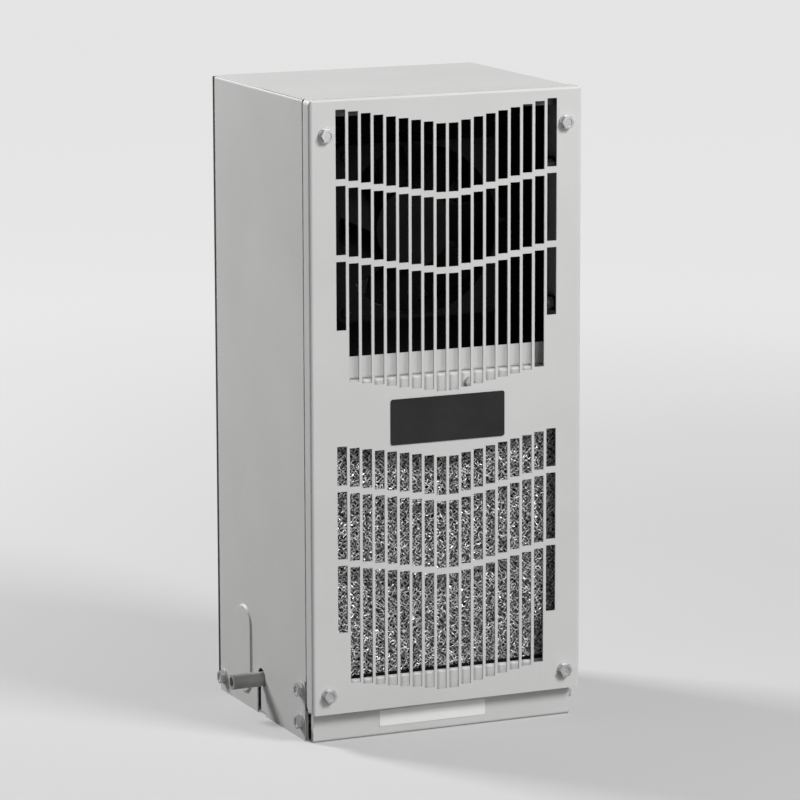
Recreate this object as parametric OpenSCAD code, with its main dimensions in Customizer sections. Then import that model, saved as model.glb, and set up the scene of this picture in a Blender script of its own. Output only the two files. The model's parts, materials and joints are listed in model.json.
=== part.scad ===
// Wall-mounted enclosure cooling unit: closed-loop, side-mounted, with a lift-off front cover.
// +Z is up, the front faces -Y, and the origin is the middle of the underside.
// A "depth" is a distance behind the outer face of the front cover.

/* [Body] */
// Width over the front cover
body_w = 196.8; // [190:0.1:210]
// Height from the underside to the top of the cover
body_h = 432; // [428:1:450]
// Depth from the front of the cover to the rear of the shell
body_d = 169.2; // [168:0.1:180]
// Thickness of the sheet steel
sheet = 1.0; // [0.8:0.1:1.2]
// Outer radius of the folded edges
bend_r = 2.4; // [2:0.1:3]

/* [Front cover] */
// Height of the cover's lower edge above the underside
cover_lift = 20.8; // [18:0.1:24]
// Depth of the cover's folded sides and top
cover_return = 10.5; // [9:0.1:12]
// Radius of the cover's upper corners, seen from the front
cover_corner_r = 4.5; // [3:0.1:6]
// Radius of the lower corner of each folded side
return_corner_r = 7; // [5:0.1:9]
// Distance of the cover screws from the cover's sides
cover_screw_side = 11.7; // [11:0.1:12]
// Distance of the upper screws below the top
cover_screw_top = 24; // [20:1:30]
// Height of the lower screws above the cover's lower edge
cover_screw_bottom = 13; // [12:1:16]

/* [Grilles] */
// Number of slot columns
slot_columns = 18; // [16:2:18]
// Distance from one column to the next
slot_pitch = 8.98; // [8.6:0.01:9]
// Width of a slot
slot_w = 7.0; // [5:0.1:7.2]
// Height of a slot
slot_h = 45.6; // [40:0.1:46]
// Height of the bridge between two slots of a column
slot_bridge = 4.3; // [4:0.1:6]
// Drop of each column below its outer neighbour
slot_step = 1.57; // [0:0.01:1.6]
// Height of the long slots in the lowest row
long_slot_h = 78.7; // [60:0.1:79]
// Distance of the upper grille below the top
upper_grille_drop = 7.6; // [7.4:0.1:9]
// Distance from the upper grille down to the lower one
grille_spacing = 203.3; // [202:0.1:206]
// Height of the short slots at the top of the lower grille
short_slot_h = 26.1; // [20:0.1:27]

/* [Name plate and label] */
// Width of the bare plate
plate_w = 82.7; // [60:0.1:90]
// Height of the bare plate
plate_h = 30.6; // [20:0.1:31]
// Thickness of the bare plate
plate_t = 0.8; // [0.5:0.1:1.5]
// Distance of the plate's middle below the top
plate_drop = 217; // [216:0.1:218]
// Width of the blank label
label_w = 78; // [50:1:90]
// Height of the blank label
label_h = 11; // [8:0.5:13]
// Thickness of the blank label
label_t = 0.3; // [0.2:0.1:0.5]
// Height of the label's middle above the underside
label_z = 12; // [8:0.1:13]
// Distance of the label's middle to the left of the unit's middle
label_left = 7.7; // [0:0.1:10]

/* [Base] */
// Distance of the base's front wall behind the cover's face
base_setback = 8.5; // [7:0.1:9]
// Height of the base's front wall
base_wall_h = 41; // [38:0.1:42]
// Height of the base's side walls
base_side_h = 44; // [42:0.1:50]
// Height of the base's rear wall
base_rear_h = 22; // [20:0.1:23]

/* [Side] */
// Distance of the raised pad's middle behind the drain tube
pad_offset = 30.5; // [28:0.1:34]
// Width of the raised pad
pad_w = 28; // [20:1:32]
// Height of the raised pad's upper end
pad_top = 71; // [60:1:90]
// Height of the raised pad's lower end
pad_bottom = 8.5; // [6:0.5:12]
// Rise of the raised pad
pad_rise = 1.2; // [0.8:0.1:1.6]
// Depth of the front side screws
side_screw_front = 22.8; // [21:0.1:26]
// Distance of the rear side screw from the rear
side_screw_inset = 7; // [6.7:0.1:11]
// Height of the upper front side screw
side_screw_high = 34.1; // [30:0.1:37]
// Height of the lower front side screw
side_screw_low = 12; // [9:0.1:14]
// Height of the rear side screw
side_screw_back_z = 10.7; // [9:0.1:14]

/* [Screws] */
// Radius of the washer face of a hex screw
screw_flange_r = 5.2; // [4.8:0.1:5.6]
// Distance across the flats of a hex screw
screw_af = 7.94; // [7:0.01:8]
// Height of a hex screw's head over its washer face
screw_head_h = 3.0; // [2.5:0.1:4]
// Radius of a hex screw's shank
screw_r = 2.35; // [2:0.05:2.5]
// Length of a hex screw's shank
screw_l = 8; // [6:0.5:10]
// Radius of a small screw's head
small_head_r = 3.4; // [3:0.1:3.8]
// Height of a small screw's head
small_head_h = 2; // [1.5:0.1:2.4]
// Radius of a small screw's shank
small_r = 1.7; // [1.5:0.05:1.9]
// Length of a small screw's shank
small_l = 5; // [4:0.5:6]

/* [Drain] */
// Distance of the drain tube and its notch in front of the partition
drain_setback = 14.5; // [13:0.1:17]
// Height of the drain tube's axis
drain_z = 25; // [24:0.1:27]
// Outer radius of the drain tube
drain_r = 5.2; // [4.8:0.1:5.5]
// Wall of the drain tube
drain_wall = 1.9; // [1.2:0.1:2.2]
// Distance that the drain tube stands out of the cover's side
drain_reach = 21; // [15:1:30]
// Radius of the casing's notch around the drain tube
notch_r = 7.5; // [6:0.1:8]
// Height of the drain pan's rim
pan_top = 44; // [40:1:46]

/* [Filter] */
// Thickness of the filter
filter_t = 7; // [6:0.1:7]
// Width of the filter frame's lips
filter_lip = 2; // [1.5:0.1:3]

/* [Front chamber] */
// Distance of the divider shelf's upper face below the top
shelf_drop = 188.2; // [186:0.1:189]
// Height of the shelf's front fold
shelf_fold_h = 25; // [22:0.1:25]
// Height of the baffle that stands on the shelf's front
baffle_h = 15.4; // [12:0.1:20]
// Distance of the shelf's rear edge in front of the partition
plenum = 22.5; // [21:0.1:23]
// Width of the cooling fan's square frame
fan_size = 119; // [110:0.5:120]
// Depth of the cooling fan from front to rear
fan_t = 38; // [32:0.5:38]
// Distance of the cooling fan's axis below the top
fan_drop = 97; // [87:1:112]
// Number of fan blades
fan_blades = 7; // [5:1:9]
// Angle of the fan blades to the fan's plane
fan_tilt = 35; // [30:1:38]

/* [Rear chamber] */
// Depth of the partition between the two air paths, as a share of the body's
partition_share = 0.638; // [0.636:0.001:0.644]
// Thickness of the partition's foam
foam_t = 6; // [5:0.1:6]
// Distance of the blower wheel's axis below the top
blower_drop = 122; // [120:1:124]
// Outer radius of the blower wheel
blower_r = 61; // [56:0.5:61]
// Radius of the blower wheel's eye
blower_eye_r = 43; // [42:0.1:44]
// Number of blower blades
blower_blades = 9; // [7:1:12]
// Height of the control box
box_h = 43; // [40:0.5:43]

/* [Refrigerant circuit] */
// Radius of a coil tube
coil_tube_r = 3.2; // [3:0.1:3.4]
// Height from one coil tube to the next
coil_pitch = 18; // [17:0.1:18]
// Number of tubes in each row of the evaporator
evaporator_tubes_n = 3; // [3:2:3]
// Thickness of a fin
fin_t = 0.6; // [0.4:0.1:1]
// Distance from one fin to the next
fin_pitch = 6.6; // [6:0.1:8]
// Gap in front of the compressor and behind it
compressor_gap = 2; // [2:0.1:4]
// Height of the compressor's body
compressor_h = 96; // [80:1:110]
// Distance of the compressor to the right of the unit's middle
compressor_x = 35; // [30:1:38]
// Radius of the discharge and suction lines
line_r = 2.6; // [2.2:0.1:2.8]
// Radius of the liquid line
liquid_r = 2.2; // [2:0.1:2.4]
// Radius of the capillary tube
capillary_r = 1.2; // [1:0.1:1.4]

/* [Wall mounting] */
// Distance between the mounting threads across the unit
mount_w = 165.8; // [160:0.1:168]
// Distance of the upper mounting threads below the top
mount_drop = 30; // [28:1:36]
// Height of the lower mounting threads
mount_z = 52; // [51:1:56]
// Core radius of the mounting threads
mount_thread_r = 2.5; // [2.1:0.1:2.7]
// Thickness of the gasket strips
gasket_t = 4; // [3:0.1:5]
// Width of the gasket strips
gasket_w = 9; // [6:0.1:9.5]

/* [Hidden] */
$fn = 64;

grey = [0.80, 0.80, 0.79];
inner_grey = [0.70, 0.70, 0.70];
dark = [0.10, 0.10, 0.11];
zinc = [0.72, 0.73, 0.75];
copper = [0.72, 0.45, 0.30];

// Overrun of every cut past the faces it opens
over = 5;
// Running clearance between a shank or shaft and its hole
fit = 0.05;
// Assembly clearance between neighbouring sheet parts
slack = 0.2;

// Widths of the casing's layers
half_w = body_w / 2;
shell_half = half_w - sheet;
shell_in = shell_half - sheet;
shell_top = body_h - sheet;
base_half = shell_in - slack;
// Step inward of the shell under the cover's folds, and the dark gap behind them
joggle = 1.6;
seam = 4;
step_depth = cover_return + seam;
front_half = shell_half - joggle;
front_in = front_half - sheet;
base_front_half = front_in - slack;
// Folds of the inner parts, and lower corners of the cover's front
fold_r = 1.5;
foot_corner_r = 2.5;

// Places that follow the top and the rear
shelf_z = body_h - shelf_drop;
fan_z = body_h - fan_drop;
blower_z = body_h - blower_drop;
mount_h = body_h - mount_drop - mount_z;
panel_depth = body_d - 2 * sheet;
// The partition's depth is rounded to this
depth_step = 0.5;
partition_depth = round(body_d * partition_share / depth_step) * depth_step;
shelf_back = partition_depth - plenum;
drain_depth = partition_depth - drain_setback;
pad_depth = drain_depth + pad_offset;
side_screw_rear = body_d - side_screw_inset;

// Screw heads, studs and nuts
washer_t = 1;
crown_r = 2.6;
crown_depth = 0.6;
driver_slot = 0.8;
stud_r = 2;
stud_l = 7;
nut_af = 7;
nut_h = 3;

// Shell: inset of the front opening, flanges, gussets, open seam, and slope of the raised pad's edge
window_inset = 17;
window_half = half_w - window_inset;
top_flange_h = 4;
gusset_depth = 8;
gusset_h = 12;
gusset_w = 36;
seam_open_z = side_screw_high + 7 * sheet;
seam_cut = 2;
base_return = 4;
// Base's hole for the drain tube: shift to the rear, half width above, and slot below
hole_shift = 2.7;
hole_half = 9;
hole_slot_w = 7.8;
rear_flange_w = 20;
rear_top_flange_w = 12;
pad_draw = 1.4;
flange_start = cover_lift + slack;
cover_screw_x = half_w - cover_screw_side;
cover_screw_low = cover_lift + cover_screw_bottom;
cover_screw_high = body_h - cover_screw_top;
side_screw_places = [[side_screw_front, side_screw_high], [side_screw_front, side_screw_low],
    [side_screw_rear, side_screw_back_z]];

// Rear panel, its guards and its screws
panel_half = shell_in - slack;
panel_bottom = sheet + slack;
panel_top = shell_top - sheet - 3 * slack;
base_back = panel_depth - slack;
guard_slot = 6;
guard_bar = 2.6;
outlet_bar = 4;
outlet_h = 42;
outlet_slots = 13;
rear_screw_inset = 14.5;
rear_screw_z = [base_side_h + 3 * rear_screw_inset, body_h / 2, body_h - 5 * rear_screw_inset];
rear_screw_places = [for (s = [-1, 1], z = rear_screw_z) [s * (shell_half - rear_screw_inset), z]];
low_screw_share = 0.62;
low_screw_x = shell_half * low_screw_share;
low_screw_z = base_rear_h / 2 + sheet;
gasket_gap = 1;
press_nut_wall = 1.8;
press_nut_h = 4;
press_nut_r = mount_thread_r + press_nut_wall;

// Rounding of the small flat pieces
plate_corner_r = 1.5;
label_corner_r = 1;

// Filter, between the base's wall and the shelf's fold, and free to leave through the front opening
filter_gap = 0.5;
filter_wall = 0.8;
filter_depth = base_setback + sheet + filter_gap;
filter_side = 10.8;
filter_half = half_w - filter_side;
filter_z = base_wall_h + slack;
filter_top = shelf_z - shelf_fold_h - slack;
filter_back = filter_depth + filter_t;

// Shelf, its baffle, and fan plate
baffle_depth = base_setback + 2 * sheet + slack;
baffle_foot = 5;
fan_plate_drop = 9;
fan_plate_bottom = shelf_z - fan_plate_drop;
wing_gap = 2;
wing_half = shell_in - wing_gap;
wing_depth = 35;
wing_front = 46;
tab_half = 5;
wing_rise = 37;
wing_drop = 57;
wing_z = [shelf_z + wing_rise, body_h - wing_drop];
shelf_screw_shares = [-0.66, 0.21];
shelf_screw_x = shelf_screw_shares * base_front_half;
shelf_screw_drop = 7;

// Cooling fan: frame, fixed motor and rotor
fan_duct_wall = 2;
fan_ring_t = 1.2;
fan_corner_r = 6;
fan_flange_t = 4;
fan_hole_inset = 7;
fan_hole = fan_size / 2 - fan_hole_inset;
fan_duct_r = fan_size / 2 - fan_duct_wall;
fan_hub_r = 27;
fan_disc_t = 3;
fan_shaft_r = 2.5;
fan_strut = 5;
fan_core_inset = 6;
fan_core_share = 0.6;
fan_cup_share = 0.8;
fan_cup_wall = 2;
fan_blade_t = 1.8;
fan_tip_gap = 1.5;
fan_gap = 1;
fan_chord_share = 0.82;

// Coils: depths from front to rear, room for the bends, and the tubes' rows
cond_t = 28;
coil_lift = 6;
coil_end_gap = 1.6;
evap_inset = 8;
evap_gap = 6;
evap_rear_gap = 4.2;
tube_stub = 2;
row_shares = [0.25, 0.75];
coil_end = sheet + coil_pitch / 2 + coil_tube_r + coil_end_gap;
cond_front = filter_back + 4 * sheet;
cond_back = cond_front + cond_t;
cond_rows = [for (k = row_shares) cond_front + k * cond_t];
cond_half = front_in - coil_end;
cond_z = base_wall_h + coil_lift + coil_pitch / 2;
// As many tubes as the room holds, an odd number in each row
cond_pairs = floor(((filter_top - base_wall_h - coil_lift) / coil_pitch - 1) / 2);
condenser_tubes_n = 2 * cond_pairs + 1;
cond_end_z = cond_z + (condenser_tubes_n - 1) * coil_pitch;
foam_depth = partition_depth + sheet;
foam_back = foam_depth + foam_t;
evap_front = foam_back + 4 * sheet;
evap_back = panel_depth - evap_rear_gap;
evap_rows = [for (k = row_shares) evap_front + k * (evap_back - evap_front)];
evap_half = cond_half - evap_inset;
evap_end_z = blower_z - blower_r - evap_gap - coil_pitch / 2;
evap_z = evap_end_z - (evaporator_tubes_n - 1) * coil_pitch;

// Blower: heights over the partition's rear face
motor_flange_r = 34;
motor_screw_share = 0.6;
motor_screw_at = motor_flange_r * motor_screw_share;
stator_t = 3;
stator_core_r = 18;
stator_core_h = 10;
rotor_r = 24;
rotor_gap = 0.8;
shaft_r = 3;
wheel_base = 15;
wheel_t = 1.2;
wheel_blade_t = 1.2;
ring_reach = 14;
wheel_blade_h = panel_depth - foam_depth - wheel_base - wheel_t - ring_reach - sheet;
wheel_bow_shares = [0.5, 0.59];
eye_lip = 4;
eye_gap = 2;
shaft_end = wheel_base + 6 * wheel_t;
ring_flange_w = 12;

// Partition and foam
partition_half = base_half - 2 * sheet;
foam_inset = 2;
foam_half = partition_half - foam_inset;

// Control box: under the shell's top, between the upper press nuts and over the blower wheel
box_gap = 5;
box_half_w = mount_w / 2 - press_nut_r - sheet - 8 * slack;
box_z = blower_z + blower_r + box_gap;
box_front = foam_back + sheet;
box_back = panel_depth - 3 * sheet;
dial_share = 0.62;
dial_x = -box_half_w * dial_share;
dial_z = box_z + box_h / 2;
dial_r = 13;
dial_t = gasket_t - 2 * slack;
dial_grip_r = 1.6;
dial_shaft_r = 3;
dial_shaft_l = 10;
thermostat_w = 30;
thermostat_share = 0.62;
thermostat_t = (box_back - box_front) * thermostat_share;
cord_x = -dial_x;
grommet_r = 7;
grommet_bore_r = 4.5;
grommet_lip = 2;
lid_screw_inset = 6;
relay_w = 13;
relay_share = 0.54;
relay_t = (box_back - box_front) * relay_share;
relay_h = 27;
relay_x = -26;
can_r = 13;
can_l = 44;
terminals_w = 20;
terminals_h = 14;

// Compressor, between the condenser and the partition, and its feet
compressor_r = (partition_depth - cond_back - sheet) / 2 - compressor_gap;
compressor_depth = partition_depth - compressor_gap - compressor_r;
dome_share = 0.37;
compressor_dome_r = compressor_r * dome_share;
grommet_h = 8;
grommet_wall = 6;
foot_z = sheet + grommet_h;
foot_t = 2;
foot_w = 24;
foot_reach = 9;
foot_span = compressor_r + foot_reach;
foot_studs = [compressor_x - foot_span, compressor_x + foot_span];
compressor_z = foot_z + foot_t;
compressor_top = compressor_z + compressor_h;
terminal_h = 12;
port_gap = 1.4;
port_offset = compressor_r - compressor_dome_r - line_r - 2 * slack;
terminal_r = port_offset - line_r - port_gap;
suction_in_x = compressor_x + port_offset;
discharge_x = compressor_x - port_offset;

// Lines and leads: bend radius and the places where they run
bend = 5;
line_gap = 2.3;
discharge_drop = 16;
discharge_z = shelf_z - discharge_drop;
line_left = -front_in + line_r + line_gap;
suction_x = shell_in - line_r - line_gap;
suction_setback = 9;
suction_depth = partition_depth - suction_setback;
suction_z = evap_z;
liquid_rise = 14;
liquid_z = cond_end_z + liquid_rise;
drier_x = -70;
drier_r = 9;
drier_depth = compressor_depth - drier_r;
drier_low_share = 0.4;
drier_high_share = 0.65;
drier_low = liquid_z * drier_low_share;
drier_high = liquid_z * drier_high_share;
neck = 5;
neck_wall = 1;
capillary_x = 84;
capillary_depth = (compressor_depth + suction_depth) / 2;
capillary_low = drier_low - neck - 3 * bend;
lead_r = 2.2;
lead_inset = 6;
lead_x = box_half_w - lead_inset;
lead_share = 0.33;
lead_z = box_z + lead_share * box_h;
lead_setback = 8;
lead_depth = partition_depth - lead_setback;
fan_lead_gap = 14;
fan_lead_x = fan_size / 2 + fan_lead_gap;
fan_lead_share = 0.7;
fan_lead_end = [lead_x - 2 * bend, box_z + fan_lead_share * box_h];
fan_lead_depth = shelf_back + sheet + lead_r + bend;
fan_lead_start = shelf_back - fan_t / 2;

// Drain pan, and its tube, which is a little thicker where it stands out as a spout
drain_tube_r = drain_r - slack;
spout_start = half_w + 4 * slack;
pan_wall = 1.5;
pan_inset = 8;
pan_foot_w = 6;
pan_spout_x = -70;
pan_depth = foam_back + sheet;
pan_floor = drain_z - (drain_r - drain_wall);
pan_half = partition_half - pan_inset;
pan_back = base_back - 3 * sheet;

// y of a place at a given depth, in the unit's frame
function yd(depth) = depth - body_d / 2;
function unit(v) = v / norm(v);
// Places along a line of n, a pitch apart, about the middle
function spread(i, n, pitch) = (i - (n - 1) / 2) * pitch;

// A flat pattern of (x, z), made into a plate from a depth rearward
module facing(depth, t) {
    translate([0, yd(depth) + t, 0]) rotate([90, 0, 0]) linear_extrude(height = t) children();
}

// A side profile of (y, z), run along x
module across(x0, w) {
    translate([x0, 0, 0]) rotate([90, 0, 90]) linear_extrude(height = w) children();
}

module box2(x0, z0, x1, z1) {
    translate([x0, z0]) square([x1 - x0, z1 - z0]);
}

module box3(x0, d0, z0, x1, d1, z1) {
    translate([x0, yd(d0), z0]) cube([x1 - x0, d1 - d0, z1 - z0]);
}

// A rectangle whose two upper corners are round
module arch2(half, top, r) {
    box2(-half, 0, half, top - r);
    box2(-half + r, 0, half - r, top);
    for (s = [-1, 1]) translate([s * (half - r), top - r]) circle(r);
}

// A rectangle with four round corners
module round2(x0, z0, x1, z1, r) {
    box2(x0, z0 + r, x1, z1 - r);
    box2(x0 + r, z0, x1 - r, z1);
    for (x = [x0 + r, x1 - r], z = [z0 + r, z1 - r]) translate([x, z]) circle(r);
}

// A folded sheet's section along a path of its middle line, with round folds
module folded2(path, t, r) {
    last = len(path) - 1;
    for (i = [0 : last - 1]) {
        d = unit(path[i + 1] - path[i]);
        a = path[i] + d * (i == 0 ? 0 : r);
        b = path[i + 1] - d * (i == last - 1 ? 0 : r);
        translate(a) rotate(atan2(d[1], d[0])) translate([0, -t / 2]) square([norm(b - a), t]);
    }
    for (i = [1 : last - 1]) {
        d1 = unit(path[i] - path[i - 1]);
        d2 = unit(path[i + 1] - path[i]);
        reach = 2 * (r + t);
        translate(path[i] - d1 * r + d2 * r) intersection() {
            difference() {
                circle(r + t / 2);
                circle(r - t / 2);
            }
            polygon([[0, 0], d1 * reach, (d1 - d2) * reach, -d2 * reach]);
        }
    }
}

// A round rod along a path with square corners; path points are [x, depth, z]
module piped(path, r, bend) {
    last = len(path) - 1;
    for (i = [0 : last - 1]) {
        d = unit(path[i + 1] - path[i]);
        a = path[i] + d * (i == 0 ? 0 : bend);
        b = path[i + 1] - d * (i == last - 1 ? 0 : bend);
        side = abs(d[2]) > 0.5 ? [1, 0, 0] : [0, 0, 1];
        framed([a[0], yd(a[1]), a[2]], side, cross(d, side), d) cylinder(r = r, h = norm(b - a));
    }
    if (last > 1) for (i = [1 : last - 1]) {
        d1 = unit(path[i] - path[i - 1]);
        d2 = unit(path[i + 1] - path[i]);
        c = path[i] - d1 * bend + d2 * bend;
        framed([c[0], yd(c[1]), c[2]], d1, d2, cross(d1, d2)) rotate(-90)
            rotate_extrude(angle = 90) translate([bend, 0]) circle(r);
    }
}

// Puts a child's x, y and z along three square directions at a point
module framed(at, ex, ey, ez) {
    multmatrix([[ex[0], ey[0], ez[0], at[0]], [ex[1], ey[1], ez[1], at[1]], [ex[2], ey[2], ez[2], at[2]]])
        children();
}

module facing_front(x, depth, z) {
    translate([x, yd(depth), z]) rotate([90, 0, 0]) children();
}

module facing_rear(x, depth, z) {
    translate([x, yd(depth), z]) rotate([-90, 0, 0]) children();
}

// Seats a child, made along z, on the left (-1) or right (1) side of the unit
module facing_side(s, x, depth, z) {
    translate([s * x, yd(depth), z]) rotate([0, s * 90, 0]) children();
}

// Hex washer-head screw, seated on z = 0
module hex_screw() {
    difference() {
        union() {
            cylinder(r = screw_flange_r, h = washer_t);
            cylinder(r = screw_af / 2 / cos(30), h = screw_head_h + washer_t, $fn = 6);
        }
        translate([0, 0, screw_head_h + washer_t - crown_depth])
            cylinder(r = crown_r, h = crown_depth + over);
    }
    translate([0, 0, -screw_l]) cylinder(r = screw_r, h = screw_l);
}

// Small pan-head screw with a slot, seated on z = 0
module small_screw(length = small_l) {
    difference() {
        cylinder(r = small_head_r, h = small_head_h);
        translate([-small_head_r - over, -driver_slot / 2, small_head_h - driver_slot])
            cube([2 * (small_head_r + over), driver_slot, driver_slot + over]);
    }
    translate([0, 0, -length]) cylinder(r = small_r, h = length);
}

module hole_through(r, t) {
    translate([0, 0, -t - over]) cylinder(r = r, h = t + 2 * over);
}

// Front cover

module grille2(drop, first_h) {
    row_pitch = slot_h + slot_bridge;
    for (c = [0 : slot_columns - 1]) {
        k = min(c, slot_columns - 1 - c);
        x = spread(c, slot_columns, slot_pitch) - slot_w / 2;
        top = body_h - drop - k * slot_step;
        last_h = k == 0 ? slot_h : long_slot_h;
        translate([x, top - slot_h]) square([slot_w, first_h]);
        translate([x, top - row_pitch - slot_h]) square([slot_w, slot_h]);
        translate([x, top - 2 * row_pitch - last_h]) square([slot_w, last_h]);
    }
}

// The cover's block, or the space inside it when it is drawn in by inset
module cover_block(inset) {
    r = bend_r - inset;
    far = body_d / 2;
    intersection() {
        translate([0, 0, -over]) linear_extrude(height = body_h + over - inset)
            round2(-half_w + inset, yd(inset), half_w - inset, far, r);
        across(-half_w + inset, body_w - 2 * inset)
            round2(yd(inset), -body_d, far, body_h - inset, r);
        facing(inset, body_d) arch2(half_w - inset, body_h - inset, cover_corner_r - inset);
    }
}

module front_cover() {
    color(grey) difference() {
        intersection() {
            difference() {
                cover_block(0);
                cover_block(sheet);
            }
            box3(-half_w - over, 0, cover_lift, half_w + over, cover_return, body_h + over);
        }
        facing(-over, sheet + 2 * over) {
            grille2(upper_grille_drop, slot_h);
            grille2(upper_grille_drop + grille_spacing, short_slot_h);
        }
        for (x = [-cover_screw_x, cover_screw_x], z = [cover_screw_low, cover_screw_high])
            facing_front(x, 0, z) hole_through(screw_r + slack, sheet);
        // round lower corners of the folded sides
        across(-half_w - over, body_w + 2 * over) difference() {
            box2(yd(cover_return - return_corner_r), cover_lift - over, yd(cover_return) + over,
                cover_lift + return_corner_r);
            translate([yd(cover_return - return_corner_r), cover_lift + return_corner_r])
                circle(return_corner_r);
        }
        // round lower corners of the front
        for (s = [-1, 1]) facing(-over, sheet + 2 * over)
            translate([s * (half_w - foot_corner_r), cover_lift + foot_corner_r]) difference() {
                translate([s * (foot_corner_r + over) / 2, -(foot_corner_r + over) / 2])
                    square(foot_corner_r + over, center = true);
                circle(foot_corner_r);
            }
    }
}

module nameplate() {
    z0 = body_h - plate_drop - plate_h / 2;
    color(dark) facing(-plate_t, plate_t)
        round2(-plate_w / 2, z0, plate_w / 2, z0 + plate_h, plate_corner_r);
}

module cover_screws() {
    color(zinc) for (x = [-cover_screw_x, cover_screw_x], z = [cover_screw_low, cover_screw_high])
        facing_front(x, 0, z) hex_screw();
}

// Filter

module filter_rect(inset) {
    box2(-filter_half + inset, filter_z + inset, filter_half - inset, filter_top - inset);
}

module filter_frame() {
    color(zinc) difference() {
        facing(filter_depth, filter_t) filter_rect(0);
        facing(filter_depth - over, filter_t + 2 * over) filter_rect(filter_lip);
        facing(filter_depth + filter_wall, filter_t - 2 * filter_wall) filter_rect(filter_wall);
    }
}

module filter_mesh() {
    color(inner_grey) facing(filter_depth + filter_wall, filter_t - 2 * filter_wall) filter_rect(filter_wall);
}

// Casing

// A raised round-ended pad, standing on z = 0, its length along x from a to b
module pad_form(a, b, w, rise) {
    flat = w / 2 - pad_draw;
    for (x = [a + w / 2, b - w / 2]) translate([x, 0, 0]) cylinder(r1 = w / 2, r2 = flat, h = rise);
    translate([a + w / 2, 0, 0]) rotate([90, 0, 90]) linear_extrude(height = b - a - w)
        polygon([[-w / 2, 0], [w / 2, 0], [flat, rise], [-flat, rise]]);
}

module shell_solid() {
    facing(step_depth, body_d - step_depth) difference() {
        arch2(shell_half, shell_top, bend_r);
        translate([0, -over]) arch2(shell_in, shell_top - sheet + over, bend_r - sheet);
    }
    intersection() {
        cover_block(sheet + fit);
        union() {
            facing(sheet, step_depth) difference() {
                arch2(front_half, shell_top, bend_r);
                translate([0, -over]) arch2(front_in, shell_top - sheet + over, bend_r - sheet);
            }
            facing(sheet, sheet) difference() {
                arch2(front_half, shell_top, bend_r);
                box2(-window_half, -over, window_half, shell_top - top_flange_h);
                // wider where the filter passes
                box2(-filter_half - 2 * slack, filter_z - slack, filter_half + 2 * slack, filter_top + slack);
            }
            facing(gusset_depth, sheet) intersection() {
                arch2(front_half, shell_top, bend_r);
                for (s = [-1, 1]) box2(s > 0 ? front_half - gusset_w : -front_half, shell_top - gusset_h,
                    s > 0 ? front_half : gusset_w - front_half, shell_top);
            }
        }
    }
    facing(step_depth, sheet) intersection() {
        arch2(shell_half, shell_top, bend_r);
        for (s = [-1, 1]) translate([s * (shell_half + front_in) / 2, shell_top / 2])
            square([shell_half - front_in, shell_top], center = true);
    }
    facing(body_d - sheet, sheet) difference() {
        arch2(shell_half, shell_top, bend_r);
        box2(-shell_half + rear_flange_w, -over, shell_half - rear_flange_w, shell_top - rear_top_flange_w);
    }
    // weld studs that carry the fan plate's wings
    for (s = [-1, 1], z = wing_z) facing_side(s, shell_in - stud_l, wing_depth, z)
        cylinder(r = stud_r, h = stud_l + sheet / 2);
    // raised pad
    facing_side(-1, shell_half, pad_depth, 0) pad_form(pad_bottom, pad_top, pad_w, pad_rise);
}

module shell() {
    color(grey) difference() {
        shell_solid();
        // the front stops short of the base's setback below the cover
        box3(-half_w, -over, -over, half_w, base_setback + slack, flange_start);
        facing_side(-1, shell_in - fit, pad_depth, 0)
            pad_form(pad_bottom + sheet, pad_top - sheet, pad_w - 2 * sheet, pad_rise);
        for (x = [-cover_screw_x, cover_screw_x], z = [cover_screw_low, cover_screw_high])
            facing_front(x, sheet, z) hole_through(screw_r + fit, sheet);
        for (s = [-1, 1], p = side_screw_places) facing_side(s, shell_half, p[0], p[1])
            hole_through(screw_r + fit, sheet);
        for (x = [-mount_w / 2, mount_w / 2], z = [mount_z, mount_z + mount_h])
            facing_rear(x, body_d, z) hole_through(mount_thread_r + 4 * slack, sheet);
        for (p = rear_screw_places) facing_rear(p[0], body_d, p[1]) hole_through(small_r + fit, sheet);
        // the seam is open low down
        for (s = [-1, 1]) translate([s * (front_in + shell_half) / 2, 0, 0])
            box3(-joggle, 2 * sheet, -over, joggle, step_depth + seam_cut, seam_open_z);
        across(-half_w - over, over + joggle + 4 * sheet) {
            translate([yd(drain_depth), drain_z]) circle(notch_r);
            box2(yd(drain_depth) - notch_r, -over, yd(drain_depth) + notch_r, drain_z);
        }
    }
}

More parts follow.
